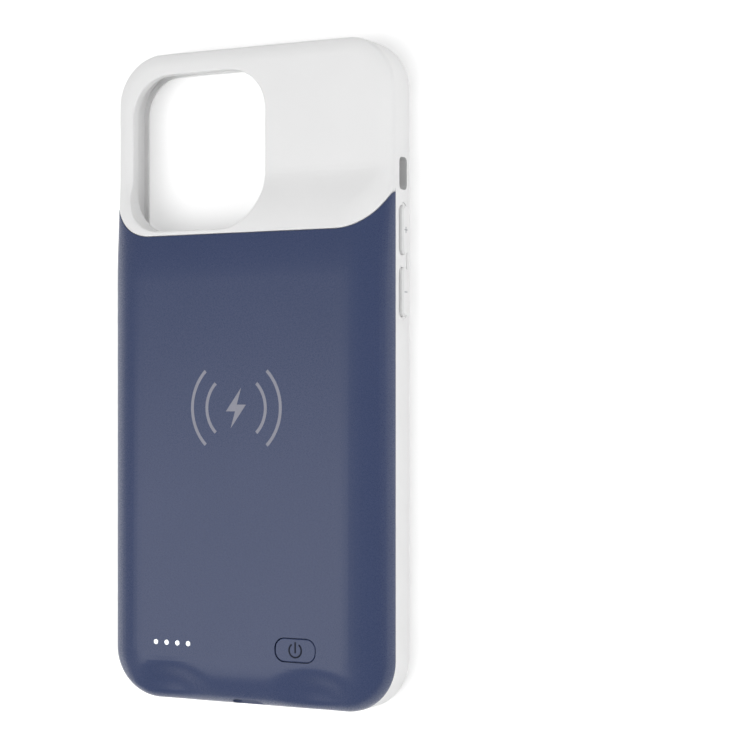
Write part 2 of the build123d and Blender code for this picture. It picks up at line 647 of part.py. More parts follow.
def make_cell_tabs():
    """Nickel tabs from the cell's terrace to the protection board."""
    y_span = (GUARD_Y + GUARD_LENGTH - TAB_OVERLAP, CELL_Y + TAB_OVERLAP)
    return group(block(around(x, TAB_WIDTH), y_span, (GUARD_TOP_Z, GUARD_TOP_Z + TAB_DEPTH)) for x in TAB_X)


def make_cell_leads():
    """Two stepped jumpers from the protection board up to the main board."""
    riser_y = around((BOARD_TOP_Y + GUARD_Y) / 2, JUMPER_DEPTH)
    top = BOARD_TOP_Z + JUMPER_DEPTH
    foot_z = (GUARD_TOP_Z, GUARD_TOP_Z + JUMPER_DEPTH)
    leads = []
    for inset in JUMPER_INSETS:
        x_span = around(inset - GUARD_WIDTH / 2, JUMPER_WIDTH)
        low_foot = block(x_span, (riser_y[0], GUARD_Y + JUMPER_FOOT), foot_z)
        riser = block(x_span, riser_y, (GUARD_TOP_Z, top))
        high_foot = block(x_span, (BOARD_TOP_Y - JUMPER_FOOT, riser_y[1]), (BOARD_TOP_Z, top))
        leads.append(low_foot + riser + high_foot)
    return group(leads)


def make_main_board():
    """Charging board that follows the hump's rounded end, notched round the socket."""
    zone = Pos(0, BOARD_TOP_Y - HALF_LENGTH) * Rectangle(2 * HALF_WIDTH, 2 * HALF_LENGTH)
    board = prism(plan(BOARD_INSET) & zone, BOARD_Z, BOARD_TOP_Z)
    socket_end = socket_mouth() + SOCKET_LENGTH + FIT_GAP
    board -= block(around(0, SOCKET_WIDTH + 2 * FIT_GAP), (-HALF_LENGTH, socket_end), (BOARD_Z, BOARD_TOP_Z))
    for x, y in SCREW_PLACES:
        board -= Pos(x, y) * prism(Circle(SCREW_DIAMETER / 2 + FIT_GAP), BOARD_Z, BOARD_TOP_Z)
    return board


def make_board_screws():
    """Pan-head screws from below, through the board into the cover's bosses."""
    head = prism(Circle(SCREW_HEAD_DIAMETER / 2), BOARD_Z - SCREW_HEAD_DEPTH, BOARD_Z)
    screw = head + prism(Circle(SCREW_DIAMETER / 2), BOARD_Z, BOARD_Z + SCREW_LENGTH)
    return group(Pos(x, y) * screw for x, y in SCREW_PLACES)


def make_control_chip():
    """Square charging controller in the middle of the board."""
    z_span = (BOARD_TOP_Z, BOARD_TOP_Z + CHIP_DEPTH)
    return block(around(CHIP_X, CHIP_SIZE), around(CONTROL_Y, CHIP_SIZE), z_span)


def make_power_inductor():
    """Square power inductor with bevelled corners."""
    z_span = (BOARD_TOP_Z, BOARD_TOP_Z + INDUCTOR_DEPTH)
    core = block(around(INDUCTOR_X, INDUCTOR_SIZE), around(CONTROL_Y, INDUCTOR_SIZE), z_span)
    return chamfer(core.edges().filter_by(Axis.Z), INDUCTOR_BEVEL)


def make_board_capacitors():
    """Row of chip capacitors along the board's inner edge."""
    width, length, depth = CAPACITOR_SIZE
    y_span = around(BOARD_TOP_Y - CAPACITOR_INSET, length)
    places = [CAPACITOR_X + CAPACITOR_PITCH * (i - (CAPACITOR_COUNT - 1) / 2) for i in range(CAPACITOR_COUNT)]
    return group(block(around(x, width), y_span, (BOARD_TOP_Z, BOARD_TOP_Z + depth)) for x in places)


def make_charge_coil():
    """Flat wound pick-up coil under the middle of the cover."""
    ring = Circle(COIL_RADIUS) - Circle(COIL_HOLE_RADIUS)
    return Pos(0, COIL_Y) * prism(ring, COIL_Z, COIL_TOP_Z)


def make_coil_ferrite():
    """Ferrite sheet behind the coil."""
    sheet = RectangleRounded(FERRITE_SIZE, FERRITE_SIZE, FERRITE_CORNER)
    return Pos(0, COIL_Y) * prism(sheet, COIL_Z - FERRITE_DEPTH, COIL_Z)


def make_coil_leads():
    """Two flat leads from the coil's rim, along the cover and down to the board."""
    low = COIL_TOP_Z - COIL_LEAD_DEPTH
    drop_y = (BOARD_TOP_Y - CAPACITOR_INSET, BOARD_TOP_Y - CAPACITOR_INSET + COIL_LEAD_DEPTH)
    coil = Pos(0, COIL_Y) * prism(Circle(COIL_RADIUS), COIL_Z, COIL_TOP_Z)
    leads = []
    for x in COIL_LEAD_X:
        x_span = around(x, COIL_LEAD_WIDTH)
        run = block(x_span, (drop_y[0], COIL_Y), (low, COIL_TOP_Z))
        leads.append(run - coil + block(x_span, drop_y, (BOARD_TOP_Z, COIL_TOP_Z)))
    return group(leads)


def socket_z():
    """Level of the socket's axis, just above its bed in the tray."""
    return TRAY_TOP_Z - SOCKET_SINK + FIT_GAP + SOCKET_DEPTH / 2


def socket_mouth():
    """Place of the socket's mouth, behind the rounded end of the cover."""
    return SOCKET_INSET - HALF_LENGTH


def make_charge_socket():
    """Oval metal socket, open towards the plug end."""
    mouth = socket_mouth()
    back = mouth + SOCKET_LENGTH
    shell = long_prism(SlotOverall(SOCKET_WIDTH, SOCKET_DEPTH), mouth, back, 0, socket_z())
    inner = SlotOverall(SOCKET_WIDTH - 2 * SOCKET_WALL, SOCKET_DEPTH - 2 * SOCKET_WALL)
    return shell - long_prism(inner, mouth, back - SOCKET_BACK, 0, socket_z())


def make_socket_tongue():
    """Contact tongue that stands on the socket's back wall."""
    back = socket_mouth() + SOCKET_LENGTH - SOCKET_BACK
    y_span = (back - SOCKET_TONGUE_LENGTH, back)
    return block(around(0, SOCKET_TONGUE_WIDTH), y_span, around(socket_z(), SOCKET_TONGUE_DEPTH))


def plug_root():
    """Place of the plug board's inner face, where the plug starts."""
    return -POCKET_HALF_LENGTH - GLUE_GAP - PLUG_HOLDER_DEPTH


def contact_blocks():
    """Contact pads on both faces of the plug."""
    y_high = plug_tip() - CONTACT_TIP_GAP
    pads = []
    for i in range(CONTACT_COUNT):
        x_span = around(CONTACT_PITCH * (i - (CONTACT_COUNT - 1) / 2), CONTACT_WIDTH)
        for side in (-1, 1):
            face = MIDDLE_Z + side * PLUG_DEPTH / 2
            z_span = sorted((face, face - side * CONTACT_DEPTH))
            pads.append(block(x_span, (y_high - CONTACT_LENGTH, y_high), z_span))
    return pads


def plug_tip():
    """Place of the plug's tip inside the pocket."""
    return PLUG_REACH - POCKET_HALF_LENGTH


def make_phone_plug():
    """Flat metal plug with a bevelled tip and shallow beds for its contacts."""
    outline = SlotOverall(PLUG_WIDTH, PLUG_DEPTH)
    plug = long_prism(outline, plug_root(), plug_tip(), 0, MIDDLE_Z)
    plug = chamfer(plug.faces().sort_by(Axis.Y)[-1].edges(), PLUG_TIP_BEVEL)
    for pad in contact_blocks():
        plug -= pad
    return plug


def make_plug_holder():
    """Plastic plate round the plug's root that closes the pocket's end wall, relieved for the flex."""
    y_span = (plug_root(), -POCKET_HALF_LENGTH - GLUE_GAP)
    z_span = (MIDDLE_Z - PLUG_BOARD_HEIGHT / 2, PARTING_Z - GLUE_GAP)
    plate = block(around(0, PLUG_BOARD_WIDTH), y_span, z_span)
    hole = SlotOverall(PLUG_WIDTH + 2 * GLUE_GAP, PLUG_DEPTH + 2 * GLUE_GAP)
    plate -= long_prism(hole, y_span[0], y_span[1], 0, MIDDLE_Z)
    x_span, y_low = flex_place()
    relief_x = (x_span[0] - FIT_GAP, x_span[1] + FIT_GAP)
    return plate - block(relief_x, (y_low, y_low + FLEX_DEPTH + FIT_GAP), (MIDDLE_Z - FIT_GAP, PARTING_Z))


def make_plug_board():
    """Upright board behind the plug's holder."""
    y_span = (plug_root() - PLUG_BOARD_DEPTH, plug_root())
    return block(around(0, PLUG_BOARD_WIDTH), y_span, around(MIDDLE_Z, PLUG_BOARD_HEIGHT))


def flex_place():
    """Span in X and lower place in Y of the flex, at one side of the plug board."""
    x_high = PLUG_BOARD_WIDTH / 2 - FLEX_SIDE_GAP
    return (x_high - FLEX_WIDTH, x_high), plug_root()


def make_plug_flex():
    """Angled flex strip from the plug board up to the underside of the main board."""
    x_span, y_low = flex_place()
    y_high = BOARD_INSET - HALF_LENGTH + FLEX_FOOT
    leg = block(x_span, (y_low, y_low + FLEX_DEPTH), (MIDDLE_Z, BOARD_Z))
    return leg + block(x_span, (y_low, y_high), (BOARD_Z - FLEX_DEPTH, BOARD_Z))


PIECES = {
    "bumper_frame": make_bumper_frame,
    "battery_cover": make_battery_cover,
    "power_button": make_power_button,
    "power_switch": make_power_switch,
    "switch_plunger": make_switch_plunger,
    "volume_up_key": lambda: make_key(1, VOLUME_UP_Y, VOLUME_KEY_LENGTH),
    "volume_down_key": lambda: make_key(1, VOLUME_DOWN_Y, VOLUME_KEY_LENGTH),
    "side_key": lambda: make_key(-1, SIDE_KEY_Y, SIDE_KEY_LENGTH),
    "light_guide": make_light_guide,
    "status_lights": make_status_lights,
    "inner_tray": make_inner_tray,
    "battery_cell": make_battery_cell,
    "cell_adhesive": make_cell_adhesive,
    "protection_board": make_protection_board,
    "cell_tabs": make_cell_tabs,
    "cell_leads": make_cell_leads,
    "main_board": make_main_board,
    "board_screws": make_board_screws,
    "control_chip": make_control_chip,
    "power_inductor": make_power_inductor,
    "board_capacitors": make_board_capacitors,
    "charge_coil": make_charge_coil,
    "coil_ferrite": make_coil_ferrite,
    "coil_leads": make_coil_leads,
    "charge_socket": make_charge_socket,
    "socket_tongue": make_socket_tongue,
    "phone_plug": make_phone_plug,
    "plug_contacts": lambda: group(contact_blocks()),
    "plug_holder": make_plug_holder,
    "plug_board": make_plug_board,
    "plug_flex": make_plug_flex,
}

os.makedirs("parts", exist_ok=True)
for name, make in PIECES.items():
    export_step(make(), f"parts/{name}.step")
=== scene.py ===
"""Looks of the phone battery charging case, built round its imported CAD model."""

import logging
import math
from collections.abc import Callable, Iterator, Sequence
from contextlib import contextmanager
from dataclasses import dataclass, field
from enum import Enum

import bmesh
import bpy
from mathutils import Matrix, Vector


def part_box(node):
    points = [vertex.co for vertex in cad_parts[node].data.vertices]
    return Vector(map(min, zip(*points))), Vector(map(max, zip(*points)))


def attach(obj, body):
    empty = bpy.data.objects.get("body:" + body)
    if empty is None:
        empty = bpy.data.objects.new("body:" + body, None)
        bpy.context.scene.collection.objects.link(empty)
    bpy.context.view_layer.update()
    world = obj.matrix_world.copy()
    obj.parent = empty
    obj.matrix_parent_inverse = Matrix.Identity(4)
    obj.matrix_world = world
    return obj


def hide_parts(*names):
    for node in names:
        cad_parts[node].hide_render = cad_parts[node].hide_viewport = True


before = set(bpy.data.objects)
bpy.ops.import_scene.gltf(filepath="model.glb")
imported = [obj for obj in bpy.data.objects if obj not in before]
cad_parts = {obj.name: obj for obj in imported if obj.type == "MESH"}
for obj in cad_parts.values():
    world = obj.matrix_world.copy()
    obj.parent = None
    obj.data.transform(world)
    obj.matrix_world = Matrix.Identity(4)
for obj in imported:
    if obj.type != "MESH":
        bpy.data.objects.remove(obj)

LOG = logging.getLogger("battery_case")
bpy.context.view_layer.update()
MM = 0.001
WELD = 0.0005 * MM
SPIN_WELD = 0.001 * MM
ROUND_STEPS = 5
ARC_STEP_DEG = 4.0
ARC_LEAST_STEPS = 8
CORNER_DEG = 60.0
AREA_WEIGHT = 100
QUAD = 4

Colour = tuple[float, float, float, float]
Point = tuple[float, float, float]
Pair = tuple[float, float]
Socket = bpy.types.NodeSocket
Change = Callable[[bmesh.types.BMesh], None]
Choice = Callable[[bmesh.types.BMFace], bool]


class Body(str, Enum):
    """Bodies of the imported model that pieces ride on."""

    CASE = "case"
    BACK_BUTTON = "back_button"
    VOLUME_UP = "volume_up"
    VOLUME_DOWN = "volume_down"
    SIDE_BUTTON = "side_button"


class Graph:
    """Node tree of one material, built from its texture coordinates to its shader."""

    # The Mix node repeats its socket names for each data type, so its colours go by number.
    MIX_INPUTS = (6, 7)
    MIX_OUTPUT = 2

    def __init__(self, name: str) -> None:
        """Start an empty tree with a principled shader.

        Args:
            name: Name of the material.
        """
        self.material = bpy.data.materials.new(name)
        self.material.use_nodes = True
        self.tree = self.material.node_tree
        self.tree.nodes.clear()
        self.shader = self.add("ShaderNodeBsdfPrincipled")
        output = self.add("ShaderNodeOutputMaterial")
        self.link(self.shader.outputs["BSDF"], output.inputs["Surface"])
        self.place = self.add("ShaderNodeTexCoord").outputs["Object"]

    def add(self, kind: str) -> bpy.types.ShaderNode:
        """Add one node of a kind."""
        return self.tree.nodes.new(kind)

    def link(self, source: Socket, target: Socket) -> None:
        """Join an output to an input."""
        self.tree.links.new(source, target)

    def mapped(self, centre: Point = (0.0, 0.0, 0.0), scale: Point = (1.0, 1.0, 1.0)) -> Socket:
        """Object coordinates measured from a place on the piece and stretched.

        Args:
            centre: Place, in metres, that becomes the pattern's middle.
            scale: Stretch along each axis.

        Returns:
            The vector output of a Mapping node.
        """
        node = self.add("ShaderNodeMapping")
        node.inputs["Location"].default_value = [-c * s for c, s in zip(centre, scale)]
        node.inputs["Scale"].default_value = scale
        self.link(self.place, node.inputs["Vector"])
        return node.outputs["Vector"]

    def noise(self, size_mm: float, detail: float = 3.0, vector: Socket | None = None) -> Socket:
        """Soft noise whose blotches have a given size.

        Args:
            size_mm: Size of one blotch.
            detail: Octaves of finer noise.
            vector: Coordinates other than the piece's own.

        Returns:
            The factor output of a Noise Texture node.
        """
        node = self.add("ShaderNodeTexNoise")
        node.inputs["Scale"].default_value = 1.0 / (size_mm * MM)
        node.inputs["Detail"].default_value = detail
        self.link(vector or self.place, node.inputs["Vector"])
        return node.outputs["Fac"]

    def spread(self, value: Socket, low: float, high: float, edges: Pair = (0.3, 0.7)) -> Socket:
        """Map the middle part of a noise to a range.

        Args:
            value: The noise.
            low: Result at the lower edge.
            high: Result at the upper edge.
            edges: Noise values that give the two results.

        Returns:
            The result output of a Map Range node.
        """
        node = self.add("ShaderNodeMapRange")
        node.inputs["From Min"].default_value, node.inputs["From Max"].default_value = edges
        node.inputs["To Min"].default_value = low
        node.inputs["To Max"].default_value = high
        self.link(value, node.inputs["Value"])
        return node.outputs["Result"]

    def blend(self, factor: Socket, first: Colour, second: Colour) -> Socket:
        """Mix two colours.

        Args:
            factor: Share of the second colour.
            first: Colour at factor 0.
            second: Colour at factor 1.

        Returns:
            The colour output of a Mix node.
        """
        node = self.add("ShaderNodeMix")
        node.data_type = "RGBA"
        for number, colour in zip(self.MIX_INPUTS, (first, second)):
            node.inputs[number].default_value = colour
        self.link(factor, node.inputs["Factor"])
        return node.outputs[self.MIX_OUTPUT]

    def bump(self, height: Socket, depth_mm: float, before: Socket | None = None) -> Socket:
        """Turn a height from 0 to 1 into a relief of a given depth.

        Args:
            height: The height.
            depth_mm: Depth of the relief.
            before: Relief that this one lies on.

        Returns:
            The normal output of a Bump node.
        """
        node = self.add("ShaderNodeBump")
        node.inputs["Strength"].default_value = 1.0
        node.inputs["Distance"].default_value = depth_mm * MM
        self.link(height, node.inputs["Height"])
        if before is not None:
            self.link(before, node.inputs["Normal"])
        return node.outputs["Normal"]

    def feed(self, socket: str, source: Socket | float | Colour) -> None:
        """Give the shader's socket a link, or a plain value.

        Args:
            socket: Name of the shader's input.
            source: An output to link, or the value itself.
        """
        target = self.shader.inputs[socket]
        if isinstance(source, Socket):
            self.link(source, target)
        else:
            target.default_value = source


@dataclass(frozen=True)
class Finish:
    """One surface finish, which makes its own material."""

    name: str

    def build(self) -> bpy.types.Material:
        """Make the finish's own material."""
        raise NotImplementedError

    @staticmethod
    def around(middle: float, swing: float) -> Pair:
        """Low and high end of a range that swings equally about its middle."""
        return middle - swing, middle + swing


@dataclass(frozen=True)
class MouldedFinish(Finish):
    """Moulded or coated plastic: a fine pebble over slightly cloudy colour."""

    colour: Colour
    shade: Colour
    roughness: float
    pebble_mm: float = 0.25
    pebble_depth_mm: float = 0.006
    cloud_mm: float = 22.0
    specular: float = 0.5
    sheen: float = 0.0
    swing: float = 0.04
    pebble_detail: float = 2.0

    def build(self) -> bpy.types.Material:
        """Make the material.

        Returns:
            The material.
        """
        graph = Graph(self.name)
        cloud = graph.noise(self.cloud_mm)
        pebble = graph.noise(self.pebble_mm, detail=self.pebble_detail)
        graph.feed("Base Color", graph.blend(graph.spread(cloud, 0.0, 1.0), self.shade, self.colour))
        graph.feed("Roughness", graph.spread(pebble, *self.around(self.roughness, self.swing)))
        graph.feed("Normal", graph.bump(pebble, self.pebble_depth_mm))
        graph.feed("Specular IOR Level", self.specular)
        graph.feed("Sheen Weight", self.sheen)
        return graph.material


@dataclass(frozen=True)
class MetalFinish(Finish):
    """Drawn or machined metal with fine streaks along one axis."""

    colour: Colour
    shade: Colour
    roughness: float
    swing: float = 0.08
    streak_mm: float = 0.12
    streak_depth_mm: float = 0.002
    stretch: Point = (1.0, 0.06, 1.0)
    tarnish_mm: float = 3.0

    def build(self) -> bpy.types.Material:
        """Make the material.

        Returns:
            The material.
        """
        graph = Graph(self.name)
        streaks = graph.noise(self.streak_mm, vector=graph.mapped(scale=self.stretch))
        tarnish = graph.noise(self.tarnish_mm)
        graph.feed("Base Color", graph.blend(graph.spread(tarnish, 0.0, 1.0), self.shade, self.colour))
        graph.feed("Metallic", 1.0)
        graph.feed("Roughness", graph.spread(streaks, *self.around(self.roughness, self.swing)))
        graph.feed("Normal", graph.bump(streaks, self.streak_depth_mm))
        return graph.material


@dataclass(frozen=True)
class FoilFinish(Finish):
    """Laminated foil of a pouch cell, with shallow crinkles whose dips are painted darker as painted shade.
    """

    colour: Colour
    shade: Colour
    crinkle_mm: float = 6.0
    crinkle_detail: float = 5.0
    crinkle_depth_mm: float = 0.12
    grain_mm: float = 0.4
    grain_depth_mm: float = 0.004
    metallic: float = 0.9
    roughness: Pair = (0.3, 0.42)

    def build(self) -> bpy.types.Material:
        """Make the material.

        Returns:
            The material.
        """
        graph = Graph(self.name)
        crinkle = graph.noise(self.crinkle_mm, detail=self.crinkle_detail)
        grain = graph.noise(self.grain_mm)
        folds = graph.bump(crinkle, self.crinkle_depth_mm)
        # Colour follows the crinkles' height: the dips of the folds take the darker colour, a painted
        # shade.
        graph.feed("Base Color", graph.blend(graph.spread(crinkle, 0.0, 1.0), self.shade, self.colour))
        graph.feed("Metallic", self.metallic)
        graph.feed("Roughness", graph.spread(grain, *self.roughness))
        graph.feed("Normal", graph.bump(grain, self.grain_depth_mm, folds))
        return graph.material


@dataclass(frozen=True)
class BoardFinish(Finish):
    """Solder mask over copper tracks that show as slightly lighter, raised lines."""

    mask: Colour
    track: Colour
    pitch_mm: float = 1.1
    track_share: float = 0.08
    track_depth_mm: float = 0.02
    weave_mm: float = 0.6
    roughness: Pair = (0.28, 0.4)

    def build(self) -> bpy.types.Material:
        """Make the material.

        Returns:
            The material.
        """
        graph = Graph(self.name)
        cells = graph.add("ShaderNodeTexBrick")
        cells.inputs["Scale"].default_value = 1.0 / (self.pitch_mm * MM)
        cells.inputs["Mortar Size"].default_value = self.track_share
        graph.link(graph.place, cells.inputs["Vector"])
        weave = graph.noise(self.weave_mm)
        graph.feed("Base Color", graph.blend(cells.outputs["Fac"], self.mask, self.track))
        graph.feed("Roughness", graph.spread(weave, *self.roughness))
        graph.feed("Normal", graph.bump(cells.outputs["Fac"], self.track_depth_mm))
        return graph.material


@dataclass(frozen=True)
class WindingFinish(Finish):
    """Flat coil of lacquered wire, whose turns run round one place, with painted shade in the grooves
    between turns.
    """

    colour: Colour
    shade: Colour
    centre: Point
    turn_mm: float = 0.9
    turn_depth_mm: float = 0.15
    rings_per_scale: float = 20.0
    lacquer_mm: float = 1.5
    metallic: float = 0.85
    roughness: Pair = (0.25, 0.4)

    def build(self) -> bpy.types.Material:
        """Make the material.

        Returns:
            The material.
        """
        graph = Graph(self.name)
        turns = graph.add("ShaderNodeTexWave")
        turns.wave_type = "RINGS"
        turns.rings_direction = "Z"
        turns.inputs["Scale"].default_value = math.tau / (self.rings_per_scale * self.turn_mm * MM)
        graph.link(graph.mapped(centre=self.centre), turns.inputs["Vector"])
        lacquer = graph.noise(self.lacquer_mm)
        # Colour follows the turns' relief: the grooves between turns take the darker colour, a painted
        # shade.
        graph.feed("Base Color", graph.blend(turns.outputs["Fac"], self.shade, self.colour))
        graph.feed("Metallic", self.metallic)
        graph.feed("Roughness", graph.spread(lacquer, *self.roughness))
        graph.feed("Normal", graph.bump(turns.outputs["Fac"], self.turn_depth_mm))
        return graph.material


@dataclass(frozen=True)
class LightFinish(Finish):
    """Clear plastic that glows, brighter in its middle than at its rim."""

    colour: Colour
    rim: Colour
    strength: float
    centre: Point
    radius_mm: float
    rim_share: float = 0.35
    core: Pair = (0.0, 0.6)
    haze_mm: float = 0.3
    roughness: Pair = (0.18, 0.3)

    def build(self) -> bpy.types.Material:
        """Make the material.

        Returns:
            The material.
        """
        graph = Graph(self.name)
        scale = 1.0 / (self.radius_mm * MM)
        ball = graph.add("ShaderNodeTexGradient")
        ball.gradient_type = "SPHERICAL"
        graph.link(graph.mapped(centre=self.centre, scale=(scale, scale, scale)), ball.inputs["Vector"])
        haze = graph.noise(self.haze_mm)
        graph.feed("Base Color", graph.blend(graph.spread(haze, 0.0, 1.0), self.rim, self.colour))
        graph.feed("Roughness", graph.spread(haze, *self.roughness))
        graph.feed("Emission Color", self.colour)
        glow = graph.spread(ball.outputs["Fac"], self.rim_share * self.strength, self.strength, self.core)
        graph.feed("Emission Strength", glow)
        return graph.material


@dataclass(frozen=True)
class InkFinish(Finish):
    """Printed ink, a little uneven."""

    colour: Colour
    shade: Colour
    roughness: float = 0.5
    specular: float = 0.2
    swing: float = 0.05
    blot_mm: float = 0.5
    blot_depth_mm: float = 0.002

    def build(self) -> bpy.types.Material:
        """Make the material.

        Returns:
            The material.
        """
        graph = Graph(self.name)
        blot = graph.noise(self.blot_mm)
        graph.feed("Specular IOR Level", self.specular)
        graph.feed("Base Color", graph.blend(graph.spread(blot, 0.0, 1.0), self.shade, self.colour))
        graph.feed("Roughness", graph.spread(blot, *self.around(self.roughness, self.swing)))
        graph.feed("Normal", graph.bump(blot, self.blot_depth_mm))
        return graph.material


def deselect() -> None:
    """Leave nothing selected, in object mode."""
    if bpy.context.mode != "OBJECT":
        bpy.ops.object.mode_set(mode="OBJECT")
    bpy.ops.object.select_all(action="DESELECT")


def activate(piece: bpy.types.Object) -> None:
    """Select one piece alone and make it the active one.

    Args:
        piece: The piece.
    """
    deselect()
    piece.select_set(True)
    bpy.context.view_layer.objects.active = piece


@contextmanager
def editing(piece: bpy.types.Object) -> Iterator[bmesh.types.BMesh]:
    """Edit mode on one piece, with its edit mesh.

    Args:
        piece: The piece.

    Yields:
        The edit mesh.
    """
    activate(piece)
    bpy.ops.object.mode_set(mode="EDIT")
    try:
        yield bmesh.from_edit_mesh(piece.data)
    finally:
        bpy.ops.object.mode_set(mode="OBJECT")


def settle(piece: bpy.types.Object, turn: Matrix | None = None) -> None:
    """Bake a piece's place, and a further turn or move, into its mesh.

    Args:
        piece: The piece.
        turn: Transform that is applied on top of the piece's own.
    """
    bpy.context.view_layer.update()
    piece.data.transform((turn or Matrix.Identity(4)) @ piece.matrix_world)
    piece.matrix_world = Matrix.Identity(4)
    piece.data.update()


def joined(parts: Sequence[bpy.types.Object], name: str) -> bpy.types.Object:
    """Join pieces into the first one and name it.

    Args:
        parts: The pieces.
        name: Name of the result.

    Returns:
        The joined piece.
    """
    activate(parts[0])
    for part in parts[1:]:
        part.select_set(True)
    if len(parts) > 1:
        bpy.ops.object.join()
    parts[0].name = name
    parts[0].data.name = name
    return parts[0]


def dress(piece: bpy.types.Object, material: bpy.types.Material) -> None:
    """Give a piece one material in place of what it has."""
    piece.data.materials.clear()
    piece.data.materials.append(material)


def place(piece: bpy.types.Object, body: Body, material: bpy.types.Material) -> None:
    """Dress a new piece and let it ride on a body.

    Args:
        piece: The piece, in its place.
        body: Body that carries it.
        material: Its finish.
    """
    dress(piece, material)
    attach(piece, body.value)
    LOG.info("%s rides on %s", piece.name, body.value)


def smoothed(node: str, changes: Sequence[Change] = (), angle_deg: float = 28.0) -> bpy.types.Object:
    """Welded copy of a CAD node with even shading across its tangent faces.

    Args:
        node: Name of the CAD node.
        changes: Changes to the copy's mesh, in their order.
        angle_deg: Sharpest turn between faces that is still shaded as one surface.

    Returns:
        The copy, which stands for the node.
    """
    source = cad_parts[node]
    piece = bpy.data.objects.new(f"{node}_skin", source.data.copy())
    bpy.context.scene.collection.objects.link(piece)
    if "custom_normal" in piece.data.attributes:
        piece.data.attributes.remove(piece.data.attributes["custom_normal"])
    with editing(piece):
        bpy.ops.mesh.select_all(action="SELECT")
        bpy.ops.mesh.remove_doubles(threshold=WELD)
    for change in changes:
        with editing(piece) as mesh:
            change(mesh)
            bmesh.update_edit_mesh(piece.data)
    activate(piece)
    bpy.ops.object.shade_smooth_by_angle(angle=math.radians(angle_deg))
    weigh = piece.modifiers.new("even_shading", "WEIGHTED_NORMAL")
    weigh.keep_sharp = True
    weigh.weight = AREA_WEIGHT
    bpy.ops.object.modifier_apply(modifier=weigh.name)
    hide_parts(node)
    return piece


def bar(length: float, width: float, depth: float, round_share: float = 0.98) -> bpy.types.Object:
    """Flat bar along X with rounded ends, lying on the XY plane.

    Args:
        length: Length over the rounded ends.
        width: Width.
        depth: Thickness.
        round_share: Share of half the width that the ends are rounded by.

    Returns:
        The bar, at the origin.
    """
    deselect()
    bpy.ops.mesh.primitive_cube_add(size=1.0)
    piece = bpy.context.object
    piece.scale = (length, width, depth)
    bpy.ops.object.transform_apply(location=False, rotation=False, scale=True)
    with editing(piece) as mesh:
        for edge in mesh.edges:
            edge.select_set(abs((edge.verts[0].co - edge.verts[1].co).z) > depth / 2)
        bmesh.update_edit_mesh(piece.data)
        bpy.ops.mesh.bevel(offset=round_share * width / 2, segments=ROUND_STEPS)
    return piece


def is_corner(edge: bmesh.types.BMEdge) -> bool:
    """Tell whether two faces meet at an edge at about a right angle."""
    return len(edge.link_faces) == 2 and edge.calc_face_angle() > math.radians(CORNER_DEG)


def arc(
    radius: float, width: float, depth: float, start_deg: float, sweep_deg: float, round_share: float = 0.9
) -> bpy.types.Object:
    """Flat arc-shaped stroke round the Z axis, with rounded ends.

    Args:
        radius: Radius of the stroke's middle line.
        width: Width of the stroke.
        depth: Thickness.
        start_deg: Angle of its first end.
        sweep_deg: Angle that it spans.
        round_share: Share of half the width that the ends are rounded by.

    Returns:
        The stroke, at the origin.
    """
    deselect()
    bpy.ops.mesh.primitive_plane_add(size=1.0, rotation=(math.pi / 2, 0.0, 0.0))
    piece = bpy.context.object
    piece.scale = (width, depth, 1.0)
    piece.location = (radius, 0.0, 0.0)
    settle(piece, Matrix.Rotation(math.radians(start_deg), 4, "Z"))
    with editing(piece):
        bpy.ops.mesh.select_all(action="SELECT")
        steps = max(ARC_LEAST_STEPS, round(sweep_deg / ARC_STEP_DEG))
        turn = math.radians(sweep_deg)
        bpy.ops.mesh.spin(steps=steps, angle=-turn, center=(0, 0, 0), axis=(0, 0, 1))
        bpy.ops.mesh.select_all(action="SELECT")
        bpy.ops.mesh.remove_doubles(threshold=SPIN_WELD)
        bpy.ops.mesh.normals_make_consistent(inside=False)
        mesh = bmesh.from_edit_mesh(piece.data)
        for edge in mesh.edges:
            upright = abs((edge.verts[0].co - edge.verts[1].co).z) > depth / 2
            edge.select_set(upright and is_corner(edge))
        bmesh.update_edit_mesh(piece.data)
        bpy.ops.mesh.bevel(offset=round_share * width / 2, segments=ROUND_STEPS)
    return piece


